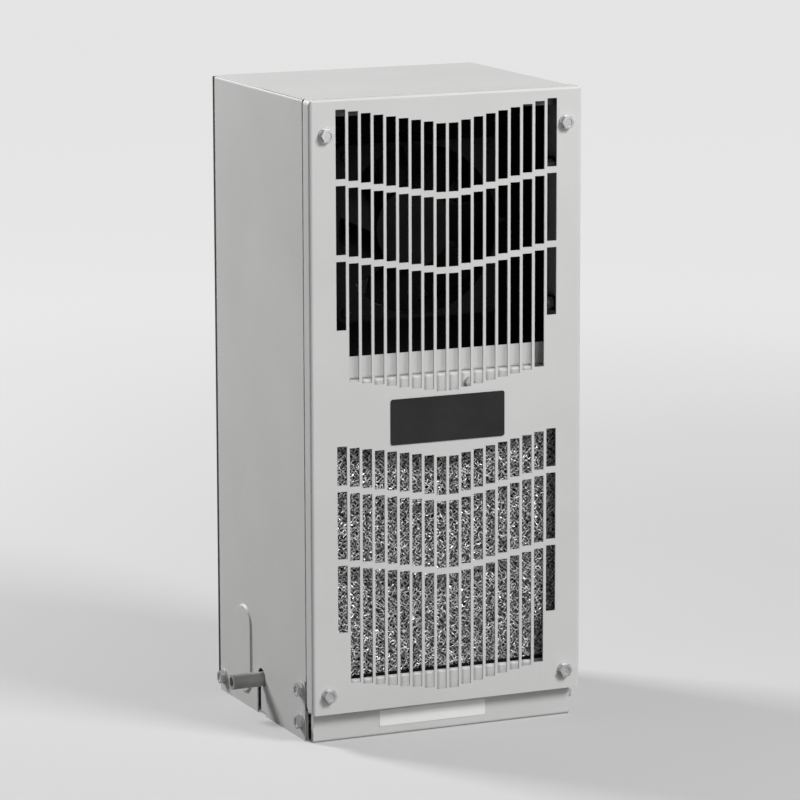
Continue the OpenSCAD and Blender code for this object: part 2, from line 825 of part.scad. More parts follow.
module base_pan() {
    mid = sheet / 2;
    hole_r = drain_r + 2 * slack;
    ledge = filter_back + 2 * sheet;
    side_start = step_depth + sheet + slack;
    color(grey) difference() {
        union() {
            across(-base_front_half, 2 * base_front_half) folded2([
                [yd(ledge - mid), base_wall_h - mid - 4 * fold_r], [yd(ledge - mid), base_wall_h - mid],
                [yd(base_setback + mid), base_wall_h - mid], [yd(base_setback + mid), mid],
                [yd(base_back - mid), mid], [yd(base_back - mid), base_rear_h]], sheet, fold_r);
            facing(side_start, base_back - side_start - 2 * fold_r) folded2([
                [-base_half + mid, base_side_h], [-base_half + mid, mid],
                [base_half - mid, mid], [base_half - mid, base_side_h]], sheet, fold_r);
            for (s = [-1, 1]) translate([s * (base_front_half - mid), 0, 0])
                box3(-mid, base_setback + mid, fold_r, mid, base_setback + base_return, base_wall_h - fold_r);
            for (x = foot_studs) translate([x, yd(compressor_depth), 0])
                cylinder(r = stud_r, h = compressor_z + nut_h + sheet);
        }
        for (s = [-1, 1], p = side_screw_places) facing_side(s, base_half, p[0], p[1])
            hole_through(screw_r + fit, sheet);
        for (x = [-low_screw_x, low_screw_x]) facing_rear(x, base_back, low_screw_z)
            hole_through(small_r + fit, sheet);
        // the side walls start further back above the cover's lower edge
        for (s = [-1, 1]) translate([s * (base_half - mid), 0, 0])
            box3(-sheet, step_depth, cover_lift, sheet, step_depth + 2 * seam_cut, base_side_h + over);
        // a hole for the drain tube, wider above it and open downward behind it
        across(-half_w - over, over + joggle + 4 * sheet) {
            translate([yd(drain_depth), drain_z]) circle(hole_r);
            translate([yd(drain_depth + hole_shift), drain_z]) intersection() {
                circle(hole_half);
                box2(-hole_half, 0, hole_half, hole_half);
            }
            box2(yd(drain_depth + hole_shift + hole_half - hole_slot_w), -over,
                yd(drain_depth + hole_shift + hole_half), drain_z);
        }
    }
}

module side_screws() {
    color(zinc) for (s = [-1, 1], p = side_screw_places) facing_side(s, shell_half, p[0], p[1]) hex_screw();
}

module blank_label() {
    color([0.86, 0.86, 0.84]) facing(base_setback - label_t, label_t)
        round2(-label_left - label_w / 2, label_z - label_h / 2, -label_left + label_w / 2,
            label_z + label_h / 2, label_corner_r);
}

module guard2(cz, r) {
    pitch = guard_slot + guard_bar;
    count = 2 * floor(r / pitch) + 1;
    translate([0, cz]) intersection() {
        circle(r);
        for (i = [0 : count - 1], s = [-1, 1])
            translate([spread(i, count, pitch) - guard_slot / 2, s * (guard_slot / 4 + r / 2) - r / 2])
                square([guard_slot, r]);
    }
}

module outlet2() {
    pitch = guard_slot + outlet_bar;
    first = base_side_h + 2 * pitch;
    for (i = [0 : outlet_slots - 1], row = [0, 1])
        translate([spread(i, outlet_slots, pitch) - guard_slot / 2, first + row * (outlet_h + pitch)])
            square([guard_slot, outlet_h]);
}

module rear_panel() {
    color(grey) difference() {
        facing(panel_depth, sheet) box2(-panel_half, panel_bottom, panel_half, panel_top);
        facing(panel_depth - over, sheet + 2 * over) {
            guard2(blower_z, blower_eye_r);
            outlet2();
            translate([dial_x, dial_z]) circle(dial_shaft_r + slack);
            translate([cord_x, dial_z]) circle(grommet_r);
            for (x = [-mount_w / 2, mount_w / 2], z = [mount_z, mount_z + mount_h])
                translate([x, z]) circle(press_nut_r + fit);
            for (p = rear_screw_places) translate(p) circle(small_r + fit);
            for (x = [-low_screw_x, low_screw_x]) translate([x, low_screw_z]) circle(small_r + fit);
        }
    }
}

module rear_screws() {
    color(zinc) {
        for (p = rear_screw_places) facing_rear(p[0], body_d, p[1]) small_screw();
        for (x = [-low_screw_x, low_screw_x]) facing_rear(x, panel_depth + sheet, low_screw_z) small_screw();
    }
}

module gasket_strips() {
    low = gasket_w;
    high = shell_top - gasket_gap;
    edge = shell_half - slack;
    color(dark) facing(body_d, gasket_t) {
        for (s = [-1, 1]) translate([s * (edge - gasket_w / 2), (low + high) / 2])
            square([gasket_w, high - low], center = true);
        box2(-edge + gasket_w + gasket_gap, high - gasket_w, edge - gasket_w - gasket_gap, high);
    }
    color(dark) facing(panel_depth + sheet, gasket_t + sheet)
        box2(-shell_half + rear_flange_w + slack, panel_bottom, shell_half - rear_flange_w - slack,
            panel_bottom + gasket_w / 2);
}

module mounting_nuts() {
    color(zinc) for (x = [-mount_w / 2, mount_w / 2], z = [mount_z, mount_z + mount_h])
        facing_rear(x, panel_depth + sheet, z) difference() {
            union() {
                translate([0, 0, -sheet]) cylinder(r = press_nut_r, h = sheet);
                translate([0, 0, -sheet - press_nut_h]) cylinder(r = press_nut_r + sheet, h = press_nut_h);
            }
            hole_through(mount_thread_r, sheet + press_nut_h);
        }
}

// Front chamber

module divider_shelf() {
    mid = sheet / 2;
    color(grey) difference() {
        across(-base_front_half, 2 * base_front_half) folded2([
            [yd(base_setback + mid), shelf_z - shelf_fold_h], [yd(base_setback + mid), shelf_z - mid],
            [yd(shelf_back - mid), shelf_z - mid], [yd(shelf_back - mid), fan_plate_bottom]], sheet, fold_r);
        for (x = shelf_screw_x) facing_front(x, base_setback, shelf_z - shelf_screw_drop)
            hole_through(small_r + fit, sheet);
    }
}

// A strip on the shelf's front, folded back along its foot
module shelf_baffle() {
    mid = sheet / 2;
    color(grey) across(-base_front_half, 2 * base_front_half) folded2([
        [yd(baffle_depth + mid), shelf_z + baffle_h], [yd(baffle_depth + mid), shelf_z + mid],
        [yd(baffle_depth + baffle_foot), shelf_z + mid]], sheet, fold_r);
}

module shelf_screws() {
    color(zinc) for (x = shelf_screw_x) facing_front(x, base_setback, shelf_z - shelf_screw_drop)
        small_screw();
}

module fan_plate() {
    color(dark) difference() {
        union() {
            facing(shelf_back, sheet) box2(-wing_half, fan_plate_bottom, wing_half, shell_top - 2 * sheet);
            for (s = [-1, 1]) translate([s * (wing_half - sheet / 2), 0, 0]) {
                box3(-sheet / 2, wing_front, shelf_z + slack, sheet / 2, shelf_back, shell_top - 2 * sheet);
                // tabs that the studs hold
                for (z = wing_z) box3(-sheet / 2, wing_depth - tab_half, z - tab_half, sheet / 2, wing_front,
                    z + tab_half);
            }
        }
        facing(shelf_back - over, sheet + 2 * over) {
            translate([0, fan_z]) circle(fan_duct_r);
            for (x = [-fan_hole, fan_hole], z = [fan_z - fan_hole, fan_z + fan_hole])
                translate([x, z]) circle(small_r + fit);
            translate([fan_lead_x, fan_z]) circle(lead_r + slack);
        }
        for (s = [-1, 1], z = wing_z) facing_side(s, wing_half, wing_depth, z)
            hole_through(stud_r + fit, sheet);
    }
}

module wing_nuts() {
    color(zinc) for (s = [-1, 1], z = wing_z) facing_side(-s, sheet - wing_half, wing_depth, z)
        difference() {
            cylinder(r = nut_af / 2 / cos(30), h = nut_h, $fn = 6);
            hole_through(stud_r + fit, nut_h);
        }
}

// The fan's own frame: z from its rear (0) to its front (fan_t)
module fan_frame() {
    half = fan_size / 2;
    color(dark) facing_front(0, shelf_back, fan_z) difference() {
        union() {
            for (z = [0, fan_t - fan_flange_t]) translate([0, 0, z]) linear_extrude(height = fan_flange_t)
                round2(-half, -half, half, half, fan_corner_r);
            cylinder(r = fan_duct_r + fan_ring_t, h = fan_t);
        }
        translate([0, 0, -over]) cylinder(r = fan_duct_r, h = fan_t + 2 * over);
        for (x = [-fan_hole, fan_hole], y = [-fan_hole, fan_hole]) translate([x, y, -over])
            cylinder(r = small_r + fit, h = fan_t + 2 * over);
    }
}

// The fan's fixed motor: a disc on four struts, a core and its bearing
module fan_stator() {
    strut_end = sqrt(pow(fan_duct_r, 2) - pow(fan_strut / 2, 2)) - fit;
    strut_start = fan_hub_r - fan_strut;
    color(dark) facing_front(0, shelf_back, fan_z) difference() {
        union() {
            cylinder(r = fan_hub_r, h = fan_disc_t);
            cylinder(r = fan_hub_r - fan_core_inset, h = fan_t * fan_core_share);
            for (a = [0 : 90 : 270]) rotate(a + 45) translate([strut_start, -fan_strut / 2, 0])
                cube([strut_end - strut_start, fan_strut, fan_disc_t]);
        }
        translate([0, 0, fan_disc_t]) cylinder(r = fan_shaft_r + fit, h = fan_t);
    }
}

// A cup over the fixed core, its shaft, and tilted blades on its rim
module fan_rotor() {
    low = fan_disc_t + fan_gap;
    high = fan_t * fan_cup_share;
    root_r = fan_hub_r - fan_cup_wall / 2;
    tip_r = fan_duct_r - fan_tip_gap;
    chord = (high - low - 2 * fan_gap) / sin(fan_tilt) * fan_chord_share;
    color([0.07, 0.07, 0.08]) facing_front(0, shelf_back, fan_z) {
        difference() {
            translate([0, 0, low]) cylinder(r = fan_hub_r, h = high - low);
            translate([0, 0, low - over])
                cylinder(r = fan_hub_r - fan_cup_wall, h = high - low + over - fan_cup_wall);
        }
        translate([0, 0, low]) cylinder(r = fan_shaft_r, h = high - low);
        intersection() {
            for (i = [0 : fan_blades - 1]) rotate(i * 360 / fan_blades)
                translate([root_r, 0, (low + high) / 2]) rotate([fan_tilt, 0, 0])
                    translate([0, -chord / 2, -fan_blade_t / 2]) cube([tip_r, chord, fan_blade_t]);
            difference() {
                cylinder(r = tip_r, h = fan_t);
                translate([0, 0, -over]) cylinder(r = root_r, h = fan_t + 2 * over);
            }
        }
    }
}

module fan_screws() {
    color(zinc) for (x = [-fan_hole, fan_hole], z = [fan_z - fan_hole, fan_z + fan_hole])
        facing_front(x, shelf_back - fan_t, z) small_screw(fan_t + 2 * sheet);
}

// Partition

module partition_holes2() {
    translate([-suction_x, suction_z]) circle(line_r + slack);
    translate([-capillary_x, evap_end_z]) circle(capillary_r + slack);
    translate([lead_x, lead_z]) circle(lead_r + slack);
    translate(fan_lead_end) circle(lead_r + slack);
}

module partition() {
    color(zinc) difference() {
        facing(partition_depth, sheet)
            box2(-partition_half, sheet, partition_half, shell_top - sheet - slack);
        facing(partition_depth - over, sheet + 2 * over) {
            partition_holes2();
            translate([pan_spout_x, drain_z]) circle(drain_r + slack);
            for (x = [-1, 1] * motor_screw_at, z = [-1, 1] * motor_screw_at)
                translate([x, blower_z + z]) circle(small_r + fit);
        }
    }
}

module partition_foam() {
    color([0.16, 0.16, 0.17]) difference() {
        facing(foam_depth, foam_t) box2(-foam_half, pan_top, foam_half, shell_top - 2 * sheet);
        facing(foam_depth - over, foam_t + 2 * over) {
            partition_holes2();
            translate([0, blower_z]) circle(motor_flange_r + slack);
        }
    }
}

// Coils

// Two rows of tubes, each a zigzag from its upper left end, joined at the lower right
module serpentine(half, rows, z0, n) {
    r = coil_pitch / 2;
    cross_r = (rows[1] - rows[0]) / 2;
    for (row = rows) {
        for (i = [0 : n - 1]) {
            z = z0 + i * coil_pitch;
            x0 = i == n - 1 ? -half - sheet - tube_stub : -half - sheet;
            piped([[x0, row, z], [half + sheet, row, z]], coil_tube_r, 0);
        }
        for (i = [0 : n - 2]) {
            s = i % 2 == 0 ? -1 : 1;
            translate([s * (half + sheet), yd(row), z0 + i * coil_pitch + r])
                rotate([90, s > 0 ? 90 : -90, 0]) rotate_extrude(angle = 180) translate([r, 0])
                    circle(coil_tube_r);
        }
    }
    translate([half + sheet, yd((rows[0] + rows[1]) / 2), z0]) rotate(-90)
        rotate_extrude(angle = 180) translate([cross_r, 0]) circle(coil_tube_r);
}

module fins(half, d0, d1, rows, z0, n) {
    count = floor((2 * half - fin_pitch) / fin_pitch);
    color(zinc) for (i = [0 : count - 1])
        across(spread(i, count, fin_pitch) - fin_t / 2, fin_t) difference() {
            box2(yd(d0), z0 - coil_pitch / 2, yd(d1), z0 + (n - 0.5) * coil_pitch);
            for (row = rows, k = [0 : n - 1]) translate([yd(row), z0 + k * coil_pitch]) circle(coil_tube_r);
        }
}

module tube_holes2(rows, z0, n) {
    for (row = rows, k = [0 : n - 1]) translate([yd(row), z0 + k * coil_pitch]) circle(coil_tube_r + fit);
}

module condenser_fins() {
    fins(cond_half, cond_front, cond_back, cond_rows, cond_z, condenser_tubes_n);
}

module condenser_tubes() {
    color(copper) serpentine(cond_half, cond_rows, cond_z, condenser_tubes_n);
}

module condenser_plates() {
    front = filter_back + slack;
    outer = base_front_half;
    inner = cond_half + sheet;
    color(zinc) for (s = [-1, 1]) {
        difference() {
            across(s > 0 ? cond_half : -cond_half - sheet, sheet)
                box2(yd(front), sheet, yd(cond_back + sheet), shelf_z - sheet);
            across(-half_w, body_w) tube_holes2(cond_rows, cond_z, condenser_tubes_n);
            box3(-half_w, 0, base_wall_h - 6 * fold_r, half_w, filter_back + 2 * sheet + slack,
                base_wall_h + slack);
        }
        facing(front, sheet)
            box2(s > 0 ? inner : -outer, base_side_h, s > 0 ? outer : -inner, shelf_z - sheet);
    }
}

module evaporator_fins() {
    fins(evap_half, evap_front, evap_back, evap_rows, evap_z, evaporator_tubes_n);
}

module evaporator_tubes() {
    color(copper) serpentine(evap_half, evap_rows, evap_z, evaporator_tubes_n);
}

module evaporator_plates() {
    color(zinc) for (s = [-1, 1]) difference() {
        across(s > 0 ? evap_half : -evap_half - sheet, sheet)
            box2(yd(foam_back), pan_top + sheet, yd(evap_back + sheet),
                evap_z + evaporator_tubes_n * coil_pitch);
        across(-half_w, body_w) tube_holes2(evap_rows, evap_z, evaporator_tubes_n);
    }
}

// Compressor

module compressor() {
    color(dark) translate([compressor_x, yd(compressor_depth), compressor_z]) {
        rotate_extrude() {
            box2(0, 0, compressor_r - compressor_dome_r, compressor_h);
            box2(0, compressor_dome_r, compressor_r, compressor_h - compressor_dome_r);
            for (z = [compressor_dome_r, compressor_h - compressor_dome_r]) intersection() {
                translate([compressor_r - compressor_dome_r, z]) circle(compressor_dome_r);
                box2(0, 0, compressor_r, compressor_h);
            }
        }
    }
}

module compressor_foot() {
    color(dark) translate([compressor_x, yd(compressor_depth), foot_z]) linear_extrude(height = foot_t)
        difference() {
            union() {
                square([2 * foot_span, foot_w], center = true);
                for (s = [-1, 1]) translate([s * foot_span, 0]) circle(foot_w / 2);
            }
            for (s = [-1, 1]) translate([s * foot_span, 0]) circle(stud_r + slack);
        }
}

module compressor_grommets() {
    color([0.05, 0.05, 0.05]) for (x = foot_studs) translate([x, yd(compressor_depth), sheet]) difference() {
        cylinder(r = stud_r + grommet_wall, h = grommet_h);
        translate([0, 0, -over]) cylinder(r = stud_r + slack, h = grommet_h + 2 * over);
    }
}

module compressor_nuts() {
    color(zinc) for (x = foot_studs) translate([x, yd(compressor_depth), compressor_z]) difference() {
        cylinder(r = nut_af / 2 / cos(30), h = nut_h, $fn = 6);
        translate([0, 0, -over]) cylinder(r = stud_r + fit, h = nut_h + 2 * over);
    }
}

module terminal_cover() {
    color(dark) translate([compressor_x, yd(compressor_depth), compressor_top])
        cylinder(r = terminal_r, h = terminal_h);
}

// Lines

module discharge_line() {
    color(copper) piped([[discharge_x, compressor_depth, compressor_top],
        [discharge_x, compressor_depth, discharge_z], [line_left, compressor_depth, discharge_z],
        [line_left, cond_rows[0], discharge_z], [line_left, cond_rows[0], cond_end_z],
        [-cond_half - sheet - tube_stub, cond_rows[0], cond_end_z]], line_r, bend);
}

module suction_line() {
    color(copper) piped([[-evap_half - sheet - tube_stub, evap_rows[1], evap_end_z],
        [-suction_x, evap_rows[1], evap_end_z], [-suction_x, evap_rows[1], suction_z],
        [-suction_x, suction_depth, suction_z], [suction_in_x, suction_depth, suction_z],
        [suction_in_x, compressor_depth, suction_z], [suction_in_x, compressor_depth, compressor_top]],
        line_r, bend);
}

module liquid_line() {
    left = line_left + liquid_r / 2;
    color(copper) piped([[-cond_half - sheet - tube_stub, cond_rows[1], cond_end_z],
        [left, cond_rows[1], cond_end_z], [left, cond_rows[1], liquid_z], [left, drier_depth, liquid_z],
        [drier_x, drier_depth, liquid_z], [drier_x, drier_depth, drier_high + neck]], liquid_r, bend);
}

module filter_drier() {
    color(copper) translate([drier_x, yd(drier_depth), 0]) {
        translate([0, 0, drier_low]) cylinder(r = drier_r, h = drier_high - drier_low);
        translate([0, 0, drier_high]) cylinder(r1 = drier_r, r2 = liquid_r + neck_wall, h = neck);
        translate([0, 0, drier_low - neck]) cylinder(r1 = capillary_r + neck_wall, r2 = drier_r, h = neck);
    }
}

module capillary_tube() {
    color(copper) piped([[drier_x, drier_depth, drier_low - neck], [drier_x, drier_depth, capillary_low],
        [-capillary_x, drier_depth, capillary_low], [-capillary_x, capillary_depth, capillary_low],
        [-capillary_x, capillary_depth, evap_end_z], [-capillary_x, evap_rows[0], evap_end_z],
        [-evap_half - sheet - tube_stub, evap_rows[0], evap_end_z]], capillary_r, bend - neck_wall);
}

// Drain

module drain_pan() {
    color(dark) difference() {
        union() {
            box3(-pan_half, pan_depth, pan_floor - pan_wall, pan_half, pan_back, pan_top);
            for (s = [-1, 1]) box3((s * pan_half - pan_foot_w) / 2, pan_depth, sheet,
                (s * pan_half + pan_foot_w) / 2, pan_back, pan_floor - pan_wall);
        }
        box3(-pan_half + pan_wall, pan_depth + pan_wall, pan_floor, pan_half - pan_wall, pan_back - pan_wall,
            pan_top + over);
        facing_rear(pan_spout_x, pan_depth, drain_z) translate([0, 0, -over])
            cylinder(r = drain_tube_r + fit, h = 2 * over);
    }
}

module drain_tube() {
    path = [[pan_spout_x, pan_depth + pan_wall, drain_z], [pan_spout_x, drain_depth, drain_z],
        [-half_w - drain_reach, drain_depth, drain_z]];
    far_path = [path[0] + [0, over, 0], path[1], path[2] - [over, 0, 0]];
    color(grey) difference() {
        union() {
            piped(path, drain_tube_r, 2 * drain_r);
            facing_side(-1, spout_start, drain_depth, drain_z)
                cylinder(r = drain_r, h = half_w + drain_reach - spout_start);
        }
        piped(far_path, drain_r - drain_wall, 2 * drain_r);
    }
}

// Blower: z from the partition's rear face, rearward

module at_blower() {
    facing_rear(0, foam_depth, blower_z) children();
}

module blower_stator() {
    color(zinc) at_blower() difference() {
        union() {
            cylinder(r = motor_flange_r, h = stator_t);
            cylinder(r = stator_core_r, h = stator_core_h);
        }
        translate([0, 0, stator_t / 2]) cylinder(r = shaft_r + fit, h = stator_core_h + over);
        for (x = [-1, 1] * motor_screw_at, y = [-1, 1] * motor_screw_at) translate([x, y, -over])
            cylinder(r = small_r + fit, h = stator_t + 2 * over);
    }
}

module motor_screws() {
    color(zinc) at_blower() for (x = [-1, 1] * motor_screw_at, y = [-1, 1] * motor_screw_at)
        translate([x, y, stator_t]) small_screw();
}

// Rotor can and shaft
module blower_rotor() {
    low = stator_t + small_head_h + rotor_gap;
    shaft_low = stator_t / 2 + rotor_gap;
    color(dark) at_blower() {
        difference() {
            translate([0, 0, low]) cylinder(r = rotor_r, h = wheel_base - low);
            translate([0, 0, low - over])
                cylinder(r = stator_core_r + rotor_gap, h = stator_core_h + rotor_gap - low + over);
        }
        translate([0, 0, shaft_low]) cylinder(r = shaft_r, h = shaft_end - shaft_low);
    }
}

// Backward-curved blades between a back plate and a front ring with a lip
module blower_impeller() {
    bow_r = blower_r * wheel_bow_shares[1];
    hub_h = 3 * wheel_t;
    color([0.13, 0.13, 0.14]) at_blower() difference() {
        union() {
            translate([0, 0, wheel_base]) cylinder(r = blower_r, h = wheel_t);
            translate([0, 0, wheel_base]) cylinder(r = 3 * shaft_r, h = hub_h);
            translate([0, 0, wheel_base + wheel_t]) linear_extrude(height = wheel_blade_h) intersection() {
                difference() {
                    circle(blower_r);
                    circle(blower_eye_r - eye_gap);
                }
                for (i = [0 : blower_blades - 1]) rotate(i * 360 / blower_blades) intersection() {
                    translate([blower_r * wheel_bow_shares[0], 0]) difference() {
                        circle(bow_r + wheel_blade_t / 2);
                        circle(bow_r - wheel_blade_t / 2);
                    }
                    square(blower_r + over);
                }
            }
            translate([0, 0, wheel_base + wheel_t + wheel_blade_h]) difference() {
                union() {
                    cylinder(r = blower_r, h = wheel_t);
                    cylinder(r = blower_eye_r + wheel_t, h = eye_lip);
                }
                translate([0, 0, -over]) cylinder(r = blower_eye_r, h = eye_lip + 2 * over);
            }
        }
        translate([0, 0, wheel_base - over]) cylinder(r = shaft_r, h = hub_h + 2 * over);
    }
}

// Bell mouth on the rear panel, its lip inside the wheel's eye
module inlet_ring() {
    lip_r = blower_eye_r - eye_gap;
    color(zinc) facing_front(0, panel_depth, blower_z) rotate_extrude() {
        box2(lip_r - sheet, 0, lip_r + ring_flange_w, sheet);
        box2(lip_r - sheet, 0, lip_r, ring_reach);
    }
}

// Controls

module control_box() {
    color(zinc) difference() {
        box3(-box_half_w, box_front - sheet, box_z, box_half_w, box_back, box_z + box_h);
        box3(-box_half_w + sheet, box_front, box_z + sheet, box_half_w - sheet, box_back + over,
            box_z + box_h - sheet);
        facing(box_front - over, 2 * over) {
            translate([lead_x, lead_z]) circle(lead_r + slack);
            translate(fan_lead_end) circle(lead_r + slack);
        }
    }
}

module control_lid() {
    color(zinc) difference() {
        facing(box_back, sheet) box2(-box_half_w, box_z, box_half_w, box_z + box_h);
        facing(box_back - over, sheet + 2 * over) {
            translate([dial_x, dial_z]) circle(dial_shaft_r + slack);
            translate([cord_x, dial_z]) circle(grommet_r + slack);
        }
    }
}

module lid_screws() {
    x0 = box_half_w - lid_screw_inset;
    color(zinc) for (x = [-x0, x0], z = [box_z + lid_screw_inset, box_z + box_h - lid_screw_inset])
        facing_rear(x, box_back + sheet, z) cylinder(r = small_head_r, h = sheet);
}

module run_capacitor() {
    color(zinc) translate([relay_x + relay_w + 2 * sheet, yd((box_front + box_back) / 2),
        box_z + sheet + can_r]) rotate([0, 90, 0]) cylinder(r = can_r, h = can_l);
}

module fan_relay() {
    color(dark) box3(relay_x, box_front, box_z + sheet, relay_x + relay_w, box_front + relay_t,
        box_z + relay_h);
}

module terminal_block() {
    color([0.85, 0.85, 0.80]) difference() {
        box3(cord_x - terminals_w / 2, box_front, box_z + sheet, cord_x + terminals_w / 2,
            box_front + terminals_h, box_z + terminals_h);
        for (i = [0 : 2]) translate([cord_x + spread(i, 3, terminals_w / 3), yd(box_front + terminals_h / 2),
            box_z + terminals_h - over]) cylinder(r = small_r, h = 2 * over);
    }
}

module thermostat() {
    half = thermostat_w / 2;
    color(dark) difference() {
        box3(dial_x - half, box_back - thermostat_t, dial_z - half, dial_x + half, box_back, dial_z + half);
        facing_rear(dial_x, box_back - dial_shaft_l - sheet, dial_z)
            cylinder(r = dial_shaft_r + fit, h = dial_shaft_l + sheet + over);
    }
}

module thermostat_dial() {
    dial_depth = panel_depth + sheet + slack;
    shaft_depth = box_back - dial_shaft_l;
    color([0.12, 0.12, 0.13]) {
        facing_rear(dial_x, dial_depth, dial_z) difference() {
            cylinder(r = dial_r, h = dial_t);
            for (a = [0 : 20 : 340]) rotate(a) translate([dial_r + dial_grip_r / 2, 0, -over])
                cylinder(r = dial_grip_r, h = dial_t + 2 * over);
            translate([-sheet / 2, 0, dial_t - sheet]) cube([sheet, dial_r + over, sheet + over]);
        }
        facing_rear(dial_x, shaft_depth, dial_z) cylinder(r = dial_shaft_r, h = dial_depth - shaft_depth);
    }
}

module cable_grommet() {
    color([0.05, 0.05, 0.05]) facing_rear(cord_x, panel_depth, dial_z) difference() {
        union() {
            for (z = [-grommet_lip, sheet]) translate([0, 0, z])
                cylinder(r = grommet_r + grommet_lip, h = grommet_lip);
            cylinder(r = grommet_r, h = sheet);
        }
        translate([0, 0, -over]) cylinder(r = grommet_bore_r, h = 3 * over);
    }
}

module compressor_lead() {
    terminals = compressor_top + terminal_h;
    rise = terminals + 3 * bend;
    color([0.08, 0.08, 0.08]) piped([[compressor_x, compressor_depth, terminals],
        [compressor_x, compressor_depth, rise], [compressor_x, lead_depth, rise], [lead_x, lead_depth, rise],
        [lead_x, lead_depth, lead_z], [lead_x, box_front, lead_z]], lead_r, bend);
}

module fan_lead() {
    color([0.08, 0.08, 0.08]) piped([[fan_duct_r + fan_ring_t, fan_lead_start, fan_z],
        [fan_lead_x, fan_lead_start, fan_z], [fan_lead_x, fan_lead_depth, fan_z],
        [fan_lead_x, fan_lead_depth, fan_lead_end[1]], [fan_lead_end[0], fan_lead_depth, fan_lead_end[1]],
        [fan_lead_end[0], box_front, fan_lead_end[1]]], lead_r, bend);
}

front_cover();
nameplate();
cover_screws();
filter_frame();
filter_mesh();
shell();
base_pan();
side_screws();
blank_label();
rear_panel();
rear_screws();
gasket_strips();
mounting_nuts();
divider_shelf();
shelf_baffle();
shelf_screws();
fan_plate();
wing_nuts();
fan_frame();
fan_stator();
fan_rotor();
fan_screws();
partition();
partition_foam();
condenser_fins();
condenser_tubes();
condenser_plates();
compressor();
compressor_foot();
compressor_grommets();
compressor_nuts();
terminal_cover();
discharge_line();
suction_line();
liquid_line();
filter_drier();
capillary_tube();
evaporator_fins();
evaporator_tubes();
evaporator_plates();
drain_pan();
drain_tube();
blower_stator();
motor_screws();
blower_rotor();
blower_impeller();
inlet_ring();
control_box();
control_lid();
lid_screws();
run_capacitor();
fan_relay();
terminal_block();
thermostat();
thermostat_dial();
cable_grommet();
compressor_lead();
fan_lead();
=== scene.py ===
"""Studio scene of a wall-mounted enclosure cooling unit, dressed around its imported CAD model."""

import json
import math
import random

import bmesh
import bpy
from mathutils import Matrix, Vector


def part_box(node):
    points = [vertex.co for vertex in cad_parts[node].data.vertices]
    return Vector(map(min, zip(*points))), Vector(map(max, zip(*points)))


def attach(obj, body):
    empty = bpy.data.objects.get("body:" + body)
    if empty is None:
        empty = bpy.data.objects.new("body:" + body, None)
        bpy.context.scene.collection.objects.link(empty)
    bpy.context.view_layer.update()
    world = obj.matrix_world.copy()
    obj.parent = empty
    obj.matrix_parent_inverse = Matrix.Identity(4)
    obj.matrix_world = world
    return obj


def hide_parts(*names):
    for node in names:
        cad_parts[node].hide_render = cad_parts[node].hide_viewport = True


MM = 0.001

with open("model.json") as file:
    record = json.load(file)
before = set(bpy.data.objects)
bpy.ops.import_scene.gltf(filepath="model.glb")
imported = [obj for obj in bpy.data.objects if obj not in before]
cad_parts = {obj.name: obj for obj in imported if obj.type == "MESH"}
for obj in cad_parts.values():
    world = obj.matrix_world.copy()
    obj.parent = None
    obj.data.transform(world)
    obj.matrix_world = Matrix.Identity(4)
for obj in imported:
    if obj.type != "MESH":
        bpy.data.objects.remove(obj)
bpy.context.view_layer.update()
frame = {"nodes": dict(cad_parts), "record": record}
nodes = frame["nodes"]


def add_object(name, data):
    thing = bpy.data.objects.new(name, data)
    bpy.context.scene.collection.objects.link(thing)
    return thing


# Camera, fitted to the photograph's edges; angles in degrees, reach in metres

CAMERA_AT = Vector((-1157.93, -2624.65, 748.56)) * MM
CAMERA_YAW = 23.857
CAMERA_PITCH = 10.583
CAMERA_ROLL = -0.176
CAMERA_REACH = 100
SENSOR = 36.0
FOCAL_PIXELS = 4278.45
PHOTO_WIDTH = 800


def make_camera():
    data = bpy.data.cameras.new("camera")
    data.sensor_width = SENSOR
    data.lens = FOCAL_PIXELS / PHOTO_WIDTH * SENSOR
    data.clip_end = CAMERA_REACH
    camera = add_object("camera", data)
    turn = Matrix.Rotation(math.radians(-CAMERA_YAW), 4, "Z")
    tilt = Matrix.Rotation(math.radians(90 - CAMERA_PITCH), 4, "X")
    roll = Matrix.Rotation(math.radians(CAMERA_ROLL), 4, "Z")
    camera.matrix_world = Matrix.Translation(CAMERA_AT) @ turn @ tilt @ roll
    bpy.context.scene.camera = camera


# Colours are sRGB, and become linear where a node takes them


def linear(color):
    """An sRGB colour in Blender's linear values, with a full alpha."""
    return tuple(c / 12.92 if c <= 0.04045 else ((c + 0.055) / 1.055) ** 2.4
                 for c in color) + (1.0,)


def grey(level):
    return (level, level, level)


def shade(color, factor):
    return tuple(min(1.0, c * factor) for c in color)


WHITE = linear(grey(1))


# Shader nodes


def set_socket(tree, socket, value):
    """Gives an input its value, or links it where the value is another node's output."""
    if isinstance(value, bpy.types.NodeSocket):
        tree.links.new(value, socket)
    else:
        socket.default_value = value


def set_inputs(tree, node, inputs):
    for name, value in inputs.items():
        set_socket(tree, node.inputs[name.replace("_", " ")], value)


def add_node(tree, kind, settings=None, **inputs):
    node = tree.nodes.new("ShaderNode" + kind)
    for name, value in (settings or {}).items():
        setattr(node, name, value)
    set_inputs(tree, node, inputs)
    return node


# Most of the noise lies in this range
NOISE_LOW, NOISE_HIGH = 0.3, 0.7


